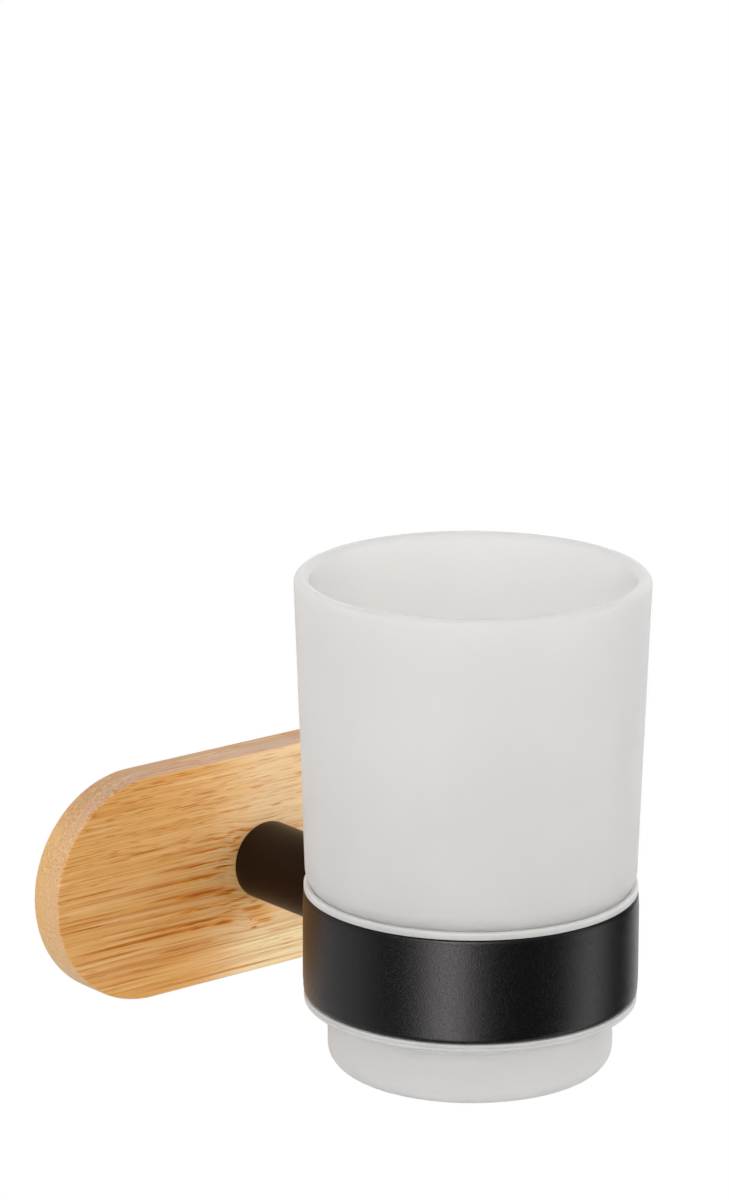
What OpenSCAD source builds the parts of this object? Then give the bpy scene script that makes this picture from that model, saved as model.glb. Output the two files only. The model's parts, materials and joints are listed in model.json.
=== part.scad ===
// Wall-mounted tumbler holder with a frosted glass tumbler.
// A laminated bamboo board sticks to the wall. A round post stands out from it and carries a metal ring.
// A soft plastic liner is snapped into the ring, and the tumbler's shoulder rests in the liner's funnel.
// All lengths are in millimetres. The origin is the centre of the face that meets the wall.
// +Z is up, +Y points into the wall and the room lies towards -Y.

/* [Tumbler] */
// Outer radius of the narrow foot
foot_r = 27.6; // [25:0.1:30]
// How far the shoulder stands out past the foot
shoulder_step = 4.4; // [3.8:0.1:5]
// How far the mouth flares out past the shoulder
mouth_flare = 2; // [0.5:0.1:5]
// Height from the base to the underside of the shoulder
foot_h = 33.9; // [28:0.1:45]
// Height from the underside of the shoulder to the mouth
bowl_h = 63.6; // [40:0.1:90]
// Thickness of the glass wall
glass_t = 3; // [2:0.1:4]
// Thickness of the glass base at its middle
base_t = 5; // [3.5:0.1:8]
// Outside radius of the rounded shoulder
shoulder_curve_r = 5.9; // [5:0.1:7]
// Radius of the hollow curve between shoulder and foot
neck_curve_r = 2; // [1:0.1:3]
// Outside radius of the foot's bottom corner
foot_curve_r = 4; // [2:0.1:6]
// Inside radius of the floor's corner
floor_curve_r = 3; // [1:0.1:5]
// Depth of the hollow pressed into the underside
punt_d = 0.8; // [0.3:0.1:1.5]
// Width of the flat ring that the tumbler stands on
standing_w = 4; // [2:0.1:6]

/* [Liner] */
// Radial gap between the liner's lands and the foot
land_gap = 0.5; // [0.3:0.1:1]
// How far the lands stand in from the sleeve
land_step = 0.9; // [0.5:0.1:1.5]
// Height of each land
land_h = 1.2; // [0.8:0.1:2]
// Wall of the sleeve between the lands
sleeve_t = 1.3; // [0.8:0.1:1.8]
// Height of the lip above the ring
top_lip_h = 1.6; // [1:0.1:2.5]
// Height of the lip below the ring
bottom_lip_h = 1.6; // [1:0.1:2.5]
// How far the top lip stays inside the ring's outer face
top_lip_inset = 0.2; // [0.1:0.1:0.9]
// How far the bottom lip stays inside the ring's outer face
bottom_lip_inset = 0.2; // [0.1:0.1:0.9]
// Flat left on top of the upper lip outside the funnel
lip_land = 0.46; // [0.36:0.02:0.8]
// Rounding of the upper lip's outer edge
top_lip_round = 0.35; // [0.2:0.05:0.35]
// Rounding of the lower lip's outer edge
bottom_lip_round = 0.6; // [0.2:0.05:0.8]
// Slope of the funnel, from upright
funnel_a = 45; // [40:1:50]
// Depth of the fine moulding line round the lower lip
lip_line_d = 0.15; // [0.1:0.05:0.3]
// Height of that line
lip_line_h = 0.3; // [0.2:0.05:0.4]

/* [Ring] */
// Thickness of the metal band
ring_wall = 2; // [1.5:0.1:3]
// Height of the band
ring_h = 20.8; // [18:0.1:26]
// How far the band's middle stands above the post's axis
ring_rise = 0.3; // [0:0.1:1]
// Rounding of the band's outer edges
ring_edge_r = 1.3; // [0.4:0.1:1.6]
// Chamfer on the band's inner edges
ring_inner_chamfer = 0.3; // [0.1:0.1:0.5]
// Depth of the flat that is cut into the band for the screw's head, at its middle
ring_spot_d = 0.1; // [0.05:0.05:0.3]

/* [Post] */
// Radius of the round bar
post_r = 8; // [7:0.5:9]
// Free length between the board and the ring
post_reach = 31.5; // [24:0.5:60]

/* [Board] */
// Length of the board along the wall
board_l = 104; // [80:1:160]
// Height of the board
board_h = 46; // [36:1:70]
// Thickness of the front layer
front_ply_t = 4; // [3:0.5:8]
// Thickness of the back layer
back_ply_t = 4; // [3:0.5:8]
// Rounding of the board's outer edges
board_edge_r = 0.5; // [0.3:0.1:1.5]

/* [Wall pad] */
// Thickness of the adhesive pad
pad_t = 1; // [0.5:0.1:2]
// How far the pad stays inside the board's outline
pad_inset = 2; // [1:0.5:6]

/* [Fasteners] */
// Radius of both screws' shanks
screw_r = 2.5; // [2:0.5:2.5]
// Length of the screw through the board
board_screw_l = 12; // [11:1:16]
// Radius of its head
board_head_r = 4.6; // [4:0.1:5.5]
// Height of its head
board_head_h = 2.4; // [1.8:0.1:2.8]
// Radius of the washer under it
washer_r = 7.5; // [6.5:0.5:8]
// Thickness of that washer
washer_t = 1; // [0.8:0.1:1.2]
// How deep the head lies under the board's back
head_recess = 0.9; // [0.5:0.1:1.2]
// Length of the screw through the ring
ring_screw_l = 10; // [8:1:12]
// Radius of its low head
ring_head_r = 4.4; // [4:0.1:4.8]
// Height of its low head
ring_head_h = 1.7; // [1.4:0.1:1.9]
// Radius of the locating pin
pin_r = 1.5; // [1:0.25:1.5]
// Length of the locating pin
pin_l = 6; // [5:0.2:7.2]
// How far the pin stands above the screw
pin_rise = 5.2; // [5:0.1:5.4]

/* [Hidden] */
$fn = 96;
// Overrun of every cut past the solid that it cuts
cut_over = 1;
// Number of steps along each rounded stretch of an outline
arc_steps = 10;

// Gap between the glass shoulder and the funnel, along the funnel's normal
seat_gap = 0.2;
// Gap between the liner's sleeve and the ring
sleeve_gap = 0.1;
// Gap between the post's hollowed end and the ring, as thick as the paint
cope_gap = 0.05;
// Radial gap round a shank in its tapped hole, and round the pin in its holes
thread_gap = 0.05;
// Radial gap round a shank in a plain hole
clear_gap = 0.25;
// Radial gap round the washer and the heads in their pockets
pocket_gap = 0.4;
// Gap left past the end of the pin and the screws in their blind holes
end_gap = 0.2;
// Spare depth of a tapped hole past its screw
tap_spare = 2;
// Radial room round the screw head in the liner's window
window_gap = 0.8;
// Chamfer on the end of a shank or pin
tip_chamfer = 0.4;
// Chamfer round a screw's head
head_chamfer = 0.5;
// Height of the flat land of the lower lip's entry chamfer
entry_chamfer = 0.6;
// Where the fine line runs, as a share of the lower lip's height
lip_line_share = 0.45;
// Size of a hex socket across its corners, as a share of the head's diameter
socket_share = 0.38;
// Depth of a hex socket, as a share of the head's height
socket_depth_share = 0.6;

// Sizes of the ring, built outwards from the tumbler's foot
land_r = foot_r + land_gap;
sleeve_in_r = land_r + land_step;
sleeve_out_r = sleeve_in_r + sleeve_t;
ring_in_r = sleeve_out_r + sleeve_gap;
ring_out_r = ring_in_r + ring_wall;
ring_top = ring_h / 2;
top_lip_r = ring_out_r - top_lip_inset;
bottom_lip_r = ring_out_r - bottom_lip_inset;
lip_top = ring_top + top_lip_h;
lip_bottom = -ring_top - bottom_lip_h;
funnel_top_r = top_lip_r - lip_land;
funnel_bottom = lip_top - (funnel_top_r - land_r) / tan(funnel_a);

// Places out from the wall, as distances along -Y
board_back = pad_t;
board_glue = board_back + back_ply_t;
board_front = board_glue + front_ply_t;
ring_back = board_front + post_reach;
cup_axis = ring_back + ring_out_r;
board_head_seat = board_back + head_recess + board_head_h;
board_washer_front = board_head_seat + washer_t;
ring_head_seat = cup_axis - ring_in_r - ring_spot_d;

// Depth of the hollow that the ring makes in the post's end
cope_d = ring_out_r - sqrt(pow(ring_out_r, 2) - pow(post_r, 2));

// The tumbler's curves, from its base up
rim_r = glass_t / 2;
shoulder_r = foot_r + shoulder_step;
mouth_r = shoulder_r + mouth_flare;
tumbler_h = foot_h + bowl_h;
rim_z = tumbler_h - rim_r;
shoulder_z = foot_h + shoulder_curve_r;
// Lean of the bowl's side, from upright
taper_a = atan(mouth_flare / (rim_z - shoulder_z));
// Centre of the shoulder's curve
shoulder_x = shoulder_r - shoulder_curve_r / cos(taper_a);
// Centre of the neck's hollow curve, and the angle through which it turns
neck_x = foot_r + neck_curve_r;
turn_a = acos((neck_x - shoulder_x) / (shoulder_curve_r + neck_curve_r));
neck_z = shoulder_z - (shoulder_curve_r + neck_curve_r) * sin(turn_a);

// Height of the tumbler's base above the ring's middle when its shoulder rests in the funnel
seat_reach = (funnel_top_r - shoulder_x) * cos(funnel_a) - shoulder_curve_r - seat_gap;
tumbler_z = lip_top - seat_reach / sin(funnel_a) - shoulder_z;

// Points along an arc round (x, y), from angle a to angle b
function arc(x, y, r, a, b) =
    [for (i = [0:arc_steps])
        let (t = a + (b - a) * i / arc_steps)
        [x + r * cos(t), y + r * sin(t)]];

// Puts what is drawn upright on the wall at a distance out, pointing into the room
module outward(distance) {
    translate([0, -distance, 0])
        rotate([90, 0, 0])
            children();
}

// The same, pointing back at the wall
module wallward(distance) {
    translate([0, -distance, 0])
        rotate([-90, 0, 0])
            children();
}

// Puts a turned piece on the tumbler's axis
module on_cup_axis(z) {
    translate([0, -cup_axis, z])
        children();
}

// A screw with its head's seat at zero and its shank upwards
module screw(length, head_r, head_h) {
    difference() {
        union() {
            cylinder(r = screw_r, h = length - tip_chamfer);
            translate([0, 0, length - tip_chamfer])
                cylinder(r1 = screw_r, r2 = screw_r - tip_chamfer, h = tip_chamfer);
            translate([0, 0, head_chamfer - head_h])
                cylinder(r = head_r, h = head_h - head_chamfer);
            translate([0, 0, -head_h])
                cylinder(r1 = head_r - head_chamfer, r2 = head_r, h = head_chamfer);
        }
        translate([0, 0, -head_h - cut_over])
            cylinder(r = head_r * socket_share, h = cut_over + head_h * socket_depth_share, $fn = 6);
    }
}

// A slab with half-round ends, standing on zero and rounded at its foot and at its top edge
module slab(length, height, thickness, foot_round, top_round) {
    end_r = height / 2;
    straight = length - height;
    outline = concat(
        [[0, 0]],
        foot_round > 0 ? arc(end_r - foot_round, foot_round, foot_round, -90, 0) : [[end_r, 0]],
        top_round > 0 ? arc(end_r - top_round, thickness - top_round, top_round, 0, 90) : [[end_r, thickness]],
        [[0, thickness]]);
    for (side = [-1, 1])
        translate([side * straight / 2, 0, 0])
            rotate_extrude()
                polygon(outline);
    translate([-straight / 2, 0, 0])
        rotate([90, 0, 90])
            linear_extrude(height = straight)
                union() {
                    polygon(outline);
                    mirror([1, 0, 0])
                        polygon(outline);
                }
}

// Frosted glass, pressed in one piece with an even wall that follows the stepped outside
module tumbler() {
    inner_foot_r = foot_r - glass_t;
    punt_r = foot_r - foot_curve_r - standing_w;
    outline = concat(
        [[0, punt_d], [punt_r, punt_d], [punt_r + punt_d, 0]],
        arc(foot_r - foot_curve_r, foot_curve_r, foot_curve_r, -90, 0),
        arc(neck_x, neck_z, neck_curve_r, 180, 180 - turn_a),
        arc(shoulder_x, shoulder_z, shoulder_curve_r, -turn_a, -taper_a),
        arc(mouth_r - rim_r, rim_z, rim_r, 0, 180),
        arc(shoulder_x, shoulder_z, shoulder_curve_r - glass_t, -taper_a, -turn_a),
        arc(neck_x, neck_z, neck_curve_r + glass_t, 180 - turn_a, 180),
        arc(inner_foot_r - floor_curve_r, base_t + floor_curve_r, floor_curve_r, 0, -90),
        [[0, base_t]]);
    color([0.85, 0.85, 0.84, 0.9])
        on_cup_axis(ring_rise + tumbler_z)
            rotate_extrude()
                polygon(outline);
}

// Soft sleeve with a funnel lip that carries the glass, a lip that hooks under the ring and two guide lands
module ring_liner() {
    line_z = -ring_top - bottom_lip_h * lip_line_share;
    outline = concat(
        [[funnel_top_r, lip_top]],
        arc(top_lip_r - top_lip_round, lip_top - top_lip_round, top_lip_round, 90, 0),
        [[top_lip_r, ring_top], [sleeve_out_r, ring_top],
         [sleeve_out_r, -ring_top], [bottom_lip_r, -ring_top],
         [bottom_lip_r, line_z + lip_line_h / 2], [bottom_lip_r - lip_line_d, line_z],
         [bottom_lip_r, line_z - lip_line_h / 2]],
        arc(bottom_lip_r - bottom_lip_round, lip_bottom + bottom_lip_round, bottom_lip_round, 0, -90),
        [[land_r + entry_chamfer, lip_bottom], [land_r, lip_bottom + entry_chamfer],
         [land_r, -ring_top + land_h], [sleeve_in_r, -ring_top + land_h + land_step],
         [sleeve_in_r, funnel_bottom - land_h - land_step], [land_r, funnel_bottom - land_h],
         [land_r, funnel_bottom]]);
    color([0.86, 0.86, 0.85])
        difference() {
            on_cup_axis(ring_rise)
                rotate_extrude()
                    polygon(outline);
            wallward(cup_axis - land_r + cut_over)
                cylinder(r = ring_head_r + window_gap, h = sleeve_out_r - land_r + 2 * cut_over);
        }
}

// Metal band with softly rounded outer edges, drilled at the back and faced flat for the screw's head
module support_ring() {
    outline = concat(
        [[ring_in_r + ring_inner_chamfer, ring_top]],
        arc(ring_out_r - ring_edge_r, ring_top - ring_edge_r, ring_edge_r, 90, 0),
        arc(ring_out_r - ring_edge_r, ring_edge_r - ring_top, ring_edge_r, 0, -90),
        [[ring_in_r + ring_inner_chamfer, -ring_top], [ring_in_r, ring_inner_chamfer - ring_top],
         [ring_in_r, ring_top - ring_inner_chamfer]]);
    color([0.13, 0.13, 0.13])
        difference() {
            on_cup_axis(ring_rise)
                rotate_extrude()
                    polygon(outline);
            wallward(ring_head_seat + cut_over)
                cylinder(r = screw_r + clear_gap, h = ring_wall + 2 * cut_over);
            outward(ring_head_seat)
                cylinder(r = ring_head_r + pocket_gap, h = ring_wall + cut_over);
        }
}

// Round bar, square at the board, hollowed at its other end to sit round the ring and tapped at both ends
module post() {
    board_tap_d = board_head_seat + board_screw_l - board_front + tap_spare;
    ring_tap_d = ring_screw_l - ring_wall + tap_spare;
    color([0.1, 0.09, 0.085])
        difference() {
            outward(board_front)
                cylinder(r = post_r, h = post_reach + cope_d);
            on_cup_axis(-post_r - cut_over)
                cylinder(r = ring_out_r + cope_gap, h = 2 * (post_r + cut_over));
            outward(board_front - cut_over)
                cylinder(r = screw_r + thread_gap, h = board_tap_d + cut_over);
            wallward(ring_back + cut_over)
                cylinder(r = screw_r + thread_gap, h = ring_tap_d + cut_over);
            translate([0, 0, pin_rise])
                outward(board_front - cut_over)
                    cylinder(r = pin_r + thread_gap, h = pin_l / 2 + end_gap + cut_over);
        }
}

// Low-headed screw from inside the ring into the post
module ring_screw() {
    color([0.55, 0.56, 0.58])
        wallward(ring_head_seat)
            screw(ring_screw_l, ring_head_r, ring_head_h);
}

// Screw from the back of the board into the post
module board_screw() {
    color([0.62, 0.63, 0.65])
        outward(board_head_seat)
            screw(board_screw_l, board_head_r, board_head_h);
}

// Wide washer that spreads the screw's load over the bamboo
module board_washer() {
    color([0.68, 0.69, 0.7])
        outward(board_head_seat)
            difference() {
                cylinder(r = washer_r, h = washer_t);
                translate([0, 0, -cut_over])
                    cylinder(r = screw_r + clear_gap, h = washer_t + 2 * cut_over);
            }
}

// Steel pin above the screw that stops the post turning on the board
module locating_pin() {
    color([0.72, 0.73, 0.74])
        translate([0, 0, pin_rise])
            outward(board_front - pin_l / 2) {
                cylinder(r1 = pin_r - tip_chamfer, r2 = pin_r, h = tip_chamfer);
                translate([0, 0, tip_chamfer])
                    cylinder(r = pin_r, h = pin_l - 2 * tip_chamfer);
                translate([0, 0, pin_l - tip_chamfer])
                    cylinder(r1 = pin_r, r2 = pin_r - tip_chamfer, h = tip_chamfer);
            }
}

// Holes that pass through the layers of the board: the screw's, its head's and washer's, and the pin's
module board_holes() {
    outward(board_back - cut_over)
        cylinder(r = washer_r + pocket_gap, h = board_washer_front - board_back + cut_over);
    outward(board_back)
        cylinder(r = screw_r + clear_gap, h = board_front - board_back + cut_over);
    translate([0, 0, pin_rise])
        wallward(board_front + cut_over)
            cylinder(r = pin_r + thread_gap, h = pin_l / 2 + end_gap + cut_over);
}

// Front layer of the bamboo board, with its front edge softened
module board_front_ply() {
    color([0.86, 0.65, 0.4])
        difference() {
            outward(board_glue)
                slab(board_l, board_h, front_ply_t, 0, board_edge_r);
            board_holes();
        }
}

// Back layer of the bamboo board, glued to the front one
module board_back_ply() {
    color([0.83, 0.6, 0.35])
        difference() {
            outward(board_back)
                slab(board_l, board_h, back_ply_t, board_edge_r, 0);
            board_holes();
        }
}

// Adhesive foam pad that fixes the board to the wall
module wall_pad() {
    color([0.8, 0.8, 0.78])
        outward(0)
            slab(board_l - 2 * pad_inset, board_h - 2 * pad_inset, pad_t, 0, 0);
}

tumbler();
ring_liner();
support_ring();
post();
ring_screw();
board_screw();
board_washer();
locating_pin();
board_front_ply();
board_back_ply();
wall_pad();
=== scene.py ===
# %% [markdown]
# # A tumbler holder for the bathroom wall
# The real thing is a frosted glass tumbler that stands in a black metal ring. A soft plastic liner lies between
# the two, a short round post carries the ring, and a board of laminated bamboo sticks to the wall.
# The CAD model is already exact, so this script loads it as a fixed frame. Round it, each piece that shows is
# modelled again with softer edges and small faults, and every piece gets the finish that the real one has.

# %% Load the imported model
import json
import math

import bmesh
import bpy
from mathutils import Matrix, Quaternion, Vector, noise


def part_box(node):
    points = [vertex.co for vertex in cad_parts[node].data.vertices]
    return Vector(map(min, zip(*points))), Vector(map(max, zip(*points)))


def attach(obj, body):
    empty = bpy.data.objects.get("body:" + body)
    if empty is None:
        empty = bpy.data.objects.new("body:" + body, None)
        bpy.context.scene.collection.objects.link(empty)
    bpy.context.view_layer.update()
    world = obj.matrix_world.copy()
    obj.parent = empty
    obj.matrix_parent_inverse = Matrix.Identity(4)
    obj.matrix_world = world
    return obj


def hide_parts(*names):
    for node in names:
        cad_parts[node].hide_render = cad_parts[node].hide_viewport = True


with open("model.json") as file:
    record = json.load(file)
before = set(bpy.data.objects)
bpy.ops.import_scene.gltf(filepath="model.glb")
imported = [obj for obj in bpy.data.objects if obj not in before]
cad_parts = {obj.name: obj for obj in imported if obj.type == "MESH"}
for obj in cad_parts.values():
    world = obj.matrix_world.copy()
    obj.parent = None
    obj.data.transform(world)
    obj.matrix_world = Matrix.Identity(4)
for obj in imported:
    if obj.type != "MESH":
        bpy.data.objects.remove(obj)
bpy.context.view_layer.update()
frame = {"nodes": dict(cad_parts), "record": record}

MM = 0.001
print("pieces in the frame:", sorted(frame["nodes"]))

# %% [markdown]
# ## Where the pieces are
# A node's box gives its lowest and highest corner. The tumbler, liner and ring were turned on a lathe in the
# CAD model, so the middle of the tumbler's box is the axis of all three. Places from the frame are in metres,
# as everything in Blender is. Sizes and the three places along Y at the end are in millimetres, as a workshop
# has them, and the sizes further down are the ones that the CAD model was built with.

# %% Places taken from the frame
tumbler_low, tumbler_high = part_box("tumbler")
ring_low, ring_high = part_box("support_ring")
cup_axis = Vector((0, (tumbler_low.y + tumbler_high.y) / 2, 0))
ring_middle = (ring_low.z + ring_high.z) / 2
board_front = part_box("board_front_ply")[0].y / MM
pad_front, pad_back = (corner.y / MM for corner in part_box("wall_pad"))
print("cup axis, mm from the wall:", round(-cup_axis.y / MM, 2))
print("middle of the ring, mm above the post's axis:", round(ring_middle / MM, 2))

# %% [markdown]
# ## The camera
# A product photo is taken from some way off with a long lens, which keeps upright lines upright. The camera
# stands 1.1 m away, a little above the mouth and to the left, and looks 15 degrees down. A camera looks along
# its own -Z with Y up, so to_track_quat turns the direction into a rotation.

# %% Camera
CAMERA_PLACE = Vector((-0.62835, -0.81327, 0.33203))
CAMERA_FORWARD = Vector((0.60866, 0.74873, -0.26260))
CAMERA_ROLL = math.radians(0.074)
CAMERA_LENS, SENSOR_W = 159.17, 36
camera_data = bpy.data.cameras.new("camera")
camera_data.sensor_width = SENSOR_W
camera_data.lens = CAMERA_LENS
camera = bpy.data.objects.new("camera", camera_data)
camera.location = CAMERA_PLACE
camera.rotation_mode = "QUATERNION"
camera.rotation_quaternion = CAMERA_FORWARD.to_track_quat("-Z", "Y") @ Quaternion((0, 0, 1), CAMERA_ROLL)
bpy.context.scene.collection.objects.link(camera)
bpy.context.scene.camera = camera
bpy.context.scene.view_settings.view_transform = "Standard"
print("camera at", [round(v, 3) for v in camera.location], "with a lens of", round(camera_data.lens, 1), "mm")

# %% [markdown]
# ## Adding nodes and writing colours
# Every material below is a small net of nodes. One function adds a node, sets its properties and fills or links
# its inputs. Colours are written as the hex values that a paint program shows, and one function turns them into
# the linear numbers that a renderer works with. A new material comes with the place of a point in millimetres,
# taken from the Object coordinates, so that each pattern gets its scale from a real size.


# %% Helpers for materials
def linear(hex_colour):
    channels = [int(hex_colour[i:i + 2], 16) / 255 for i in (1, 3, 5)]
    return tuple(c / 12.92 if c <= 0.04045 else ((c + 0.055) / 1.055) ** 2.4 for c in channels) + (1.0,)


def add_node(tree, kind, settings=None, inputs=None):
    """An input takes a value, a link from a socket, or a link from the output that a node has in use."""
    node = tree.nodes.new(kind)
    for name, value in (settings or {}).items():
        setattr(node, name, value)
    for name, value in (inputs or {}).items():
        if isinstance(value, bpy.types.Node):
            value = next(output for output in value.outputs if output.enabled)
        if isinstance(value, bpy.types.NodeSocket):
            tree.links.new(value, node.inputs[name])
        else:
            node.inputs[name].default_value = value
    return node


def clean_tree(owner):
    owner.use_nodes = True
    owner.node_tree.nodes.clear()
    return owner.node_tree


def new_material(name):
    """Returns the material, its tree and the node that gives the place in millimetres."""
    material = bpy.data.materials.new(name)
    tree = clean_tree(material)
    place = add_node(tree, "ShaderNodeTexCoord")
    mm = add_node(tree, "ShaderNodeVectorMath", {"operation": "SCALE"}, {
        "Vector": place.outputs["Object"], "Scale": 1 / MM})
    return material, tree, mm


def set_stops(ramp, *stops):
    """Each stop is a place on the ramp, from 0 to 1, and a hex colour."""
    elements = ramp.color_ramp.elements
    for i, (position, colour) in enumerate(stops):
        element = elements[i] if i < len(elements) else elements.new(position)
        element.position, element.color = position, linear(colour)


print("light grey as linear numbers:", [round(v, 3) for v in linear("#C8C8C8")])

# %% [markdown]
# ## Light and floor
# A white product is lit by white surfaces all round it, and its gloss shows where the soft boxes stand. The
# black ring of the real holder mirrors one box beside the camera, one at its right and a dim white wall at its
# left, with dark gaps between them that come from black cards. In the world below, a Light Path node gives
# mirrored rays the dark room and all others the white one, so that the cards don't darken the glass. A rough
# glass ray counts as glossy and as transmitted, so the one is taken from the other. The room is a little dimmer
# overhead than at its walls, as rooms are, and a few percent brighter to the right of the camera.

# %% World
WALLS, OVERHEAD, DARK_ROOM, WHITE = 1.58, 0.60, 0.02, (1, 1, 1, 1)
TO_RIGHT = (0.035, -0.028, 0.0)         # points to the right of the camera, and is 0.045 long
world = bpy.data.worlds.new("studio")
bpy.context.scene.world = world
tree = clean_tree(world)
rays = add_node(tree, "ShaderNodeLightPath")
direction = add_node(tree, "ShaderNodeTexCoord").outputs["Generated"]
height = add_node(tree, "ShaderNodeSeparateXYZ", None, {0: direction}).outputs["Z"]
by_height = add_node(tree, "ShaderNodeMapRange", None, {
    "Value": height, "From Min": 0.0, "From Max": 1.0, "To Min": WALLS, "To Max": OVERHEAD})
to_right = add_node(tree, "ShaderNodeVectorMath", {"operation": "DOT_PRODUCT"}, {0: direction, 1: TO_RIGHT})
brightness = add_node(tree, "ShaderNodeMath", {"operation": "MULTIPLY_ADD"}, {
    0: by_height, 1: to_right, 2: by_height})
white_room = add_node(tree, "ShaderNodeBackground", None, {"Color": WHITE, "Strength": brightness})
dark_room = add_node(tree, "ShaderNodeBackground", None, {"Color": WHITE, "Strength": DARK_ROOM})
seen_room = add_node(tree, "ShaderNodeBackground", None, {"Color": WHITE, "Strength": 1.0})
mirrored = add_node(tree, "ShaderNodeMath", {"operation": "SUBTRACT", "use_clamp": True}, {
    0: rays.outputs["Is Glossy Ray"], 1: rays.outputs["Is Transmission Ray"]})
for_gloss = add_node(tree, "ShaderNodeMixShader", None, {0: mirrored, 1: white_room, 2: dark_room})
for_camera = add_node(tree, "ShaderNodeMixShader", None, {
    0: rays.outputs["Is Camera Ray"], 1: for_gloss, 2: seen_room})
add_node(tree, "ShaderNodeOutputWorld", None, {"Surface": for_camera})
print("world:", len(tree.nodes), "nodes")

# %% [markdown]
# A soft box is an area light that faces the ring. The table says where each one stands: its turn about the
# tumbler's axis in degrees from the camera's side, + to the camera's right, and then its distance, width, height
# and the level of its middle in metres. A small one above the first gives the ring's upper edge its bright
# line. Of the two walls behind the holder the left one is wood, which browns the left end of the ring. They
# light by their mirror images alone, because the room does the rest.


# %% Soft boxes
def soft_box(name, turn, distance, width, height, middle, brightness, colour):
    towards_camera = Vector((CAMERA_PLACE.x - cup_axis.x, CAMERA_PLACE.y - cup_axis.y, 0)).normalized()
    direction = Matrix.Rotation(math.radians(turn), 3, "Z") @ towards_camera
    data = bpy.data.lights.new(name, "AREA")
    data.shape = "RECTANGLE"
    data.size = width
    data.size_y = height
    data.energy = brightness * width * height * math.pi
    data.color = linear(colour)[:3]
    box = bpy.data.objects.new(name, data)
    box.location = cup_axis + direction * distance + Vector((0, 0, middle))
    box.rotation_euler = (cup_axis - box.location).to_track_quat("-Z", "Y").to_euler()
    box.visible_camera = False
    box.visible_diffuse = False
    bpy.context.scene.collection.objects.link(box)
    print(name, "at", [round(v, 2) for v in box.location])
    return box


SOFT_BOXES = (
    # name                    turn distance width height middle brightness colour
    ("soft_box_front",       -15.6,  1.4,   0.52,  3.0,  -0.2,   5.10,    "#FFFFFF"),
    ("soft_box_front_above", -15.6,  1.4,   0.70,  1.0,   2.0,  13.00,    "#FFFFFF"),
    ("soft_box_right",        88.5,  1.4,   0.54,  3.0,  -0.2,   1.97,    "#FFFFFF"),
    ("white_wall_left",     -104.0,  1.5,   2.00,  3.0,  -0.2,   0.60,    "#FFFFFF"),
    ("wooden_wall_back",    -160.0,  2.0,   1.60,  3.0,  -0.2,   0.92,    "#FFDABC"),
    ("white_wall_back",      168.0,  2.0,   1.70,  3.0,  -0.2,   1.30,    "#FFFFFF"))
for row in SOFT_BOXES:
    soft_box(*row)

# %% [markdown]
# One more box at the right reaches past the tumbler to the board, which is brighter beside the post than at its
# far end. In a studio a black flag keeps such a box off the glass. In Blender its light is linked to a
# collection, which gets the two bamboo layers further down.

# %% Box for the board
lit_by_board_box = bpy.data.collections.new("lit_by_board_box")
board_box = soft_box("soft_box_for_board", 90.0, 1.4, 0.55, 3.0, -0.2, 3.5, "#FFFFFF")
board_box.visible_diffuse, board_box.visible_glossy = True, False
board_box.light_linking.receiver_collection = lit_by_board_box

# %% [markdown]
# The floor lies well below the holder, which hangs on a wall. It is pale and plain. To the camera it is as white
# as the rest of the room, and to the holder it is a light grey that gives some light back from below. A camera
# under the floor looks through it, because the back of the disc is clear.

# %% Floor
FLOOR_Z, FLOOR_R = -0.42, 7.0
bm = bmesh.new()
bmesh.ops.create_circle(bm, cap_ends=True, segments=96, radius=FLOOR_R)
bmesh.ops.translate(bm, verts=bm.verts, vec=(0, 0, FLOOR_Z))
floor_mesh = bpy.data.meshes.new("floor")
bm.to_mesh(floor_mesh)
bm.free()
floor = bpy.data.objects.new("floor", floor_mesh)
bpy.context.scene.collection.objects.link(floor)
floor_paint = bpy.data.materials.new("pale_floor_paint")
tree = clean_tree(floor_paint)
rays = add_node(tree, "ShaderNodeLightPath")
grey = add_node(tree, "ShaderNodeBsdfDiffuse", None, {"Color": linear("#DADAD8")})
white = add_node(tree, "ShaderNodeEmission", None, {"Color": WHITE})
top = add_node(tree, "ShaderNodeMixShader", None, {0: rays.outputs["Is Camera Ray"], 1: grey, 2: white})
side = add_node(tree, "ShaderNodeNewGeometry")
clear = add_node(tree, "ShaderNodeBsdfTransparent")
both = add_node(tree, "ShaderNodeMixShader", None, {0: side.outputs["Backfacing"], 1: top, 2: clear})
add_node(tree, "ShaderNodeOutputMaterial", None, {"Surface": both})
floor_mesh.materials.append(floor_paint)
floor.visible_glossy = False
print("floor", round(-FLOOR_Z / MM), "mm below the post")

# %% [markdown]
# ## Turning a piece on a lathe
# The tumbler, the liner, the ring and the post are all round. Each is drawn as half of its section and spun
# about its axis. The section is drawn as with a pen: extrude_vert_indiv carries the tip of the line to a new
# point, and a spin of that one vertex swings it along an arc. The big spin then makes the walls. A full spin
# needs use_merge, which joins its last copy to its first, and remove_doubles closes the poles on the axis.


# %% Pen and lathe
JOIN_WITHIN = 0.002 * MM
print("points closer than", JOIN_WITHIN / MM, "mm are joined")


def pen_down(x, z):
    bm = bmesh.new()
    return bm, bmesh.ops.create_vert(bm, co=(x * MM, 0, z * MM))["vert"][0]


def line_to(bm, tip, x, z, pieces=1):
    start = tip.co.copy()
    end = Vector((x * MM, 0, z * MM))
    for i in range(pieces):
        tip = bmesh.ops.extrude_vert_indiv(bm, verts=[tip])["verts"][0]
        tip.co = start.lerp(end, (i + 1) / pieces)
    return tip


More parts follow.
